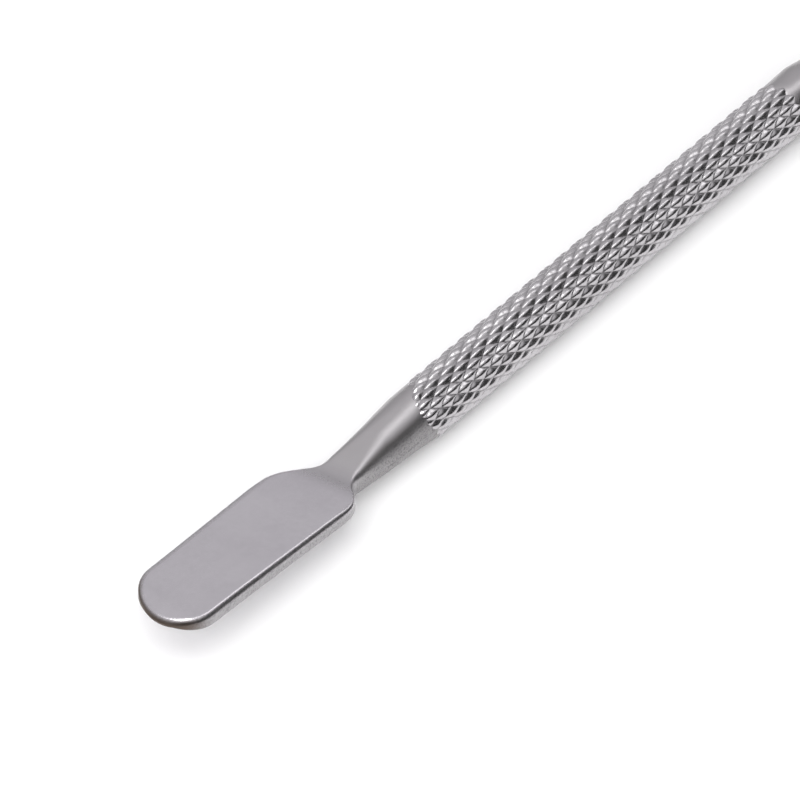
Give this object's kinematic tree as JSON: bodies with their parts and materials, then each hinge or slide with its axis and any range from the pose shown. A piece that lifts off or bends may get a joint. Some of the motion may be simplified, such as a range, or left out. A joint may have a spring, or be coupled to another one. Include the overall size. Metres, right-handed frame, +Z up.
{
  "type": "cuticle pusher",
  "caption": "Double-ended steel cuticle pusher: diamond-knurled round grip, flat spoon-shaped pusher at one end and a narrow nail cleaner at the other.",
  "frame": {"origin": "on the surface the tool lies on, under the middle of its length", "axes": "+X along the tool from the spoon tip towards the nail cleaner, +Z up, the spoon's flat face up"},
  "size_m": [0.125, 0.0078, 0.005],
  "materials": {
    "grip_steel": "bright knurled",
    "blade_steel": "satin tumbled"
  },
  "bodies": {
    "root": {"knurled_handle": "grip_steel", "spoon_pusher_end": "blade_steel", "nail_cleaner_end": "blade_steel"}
  },
  "joints": []
}
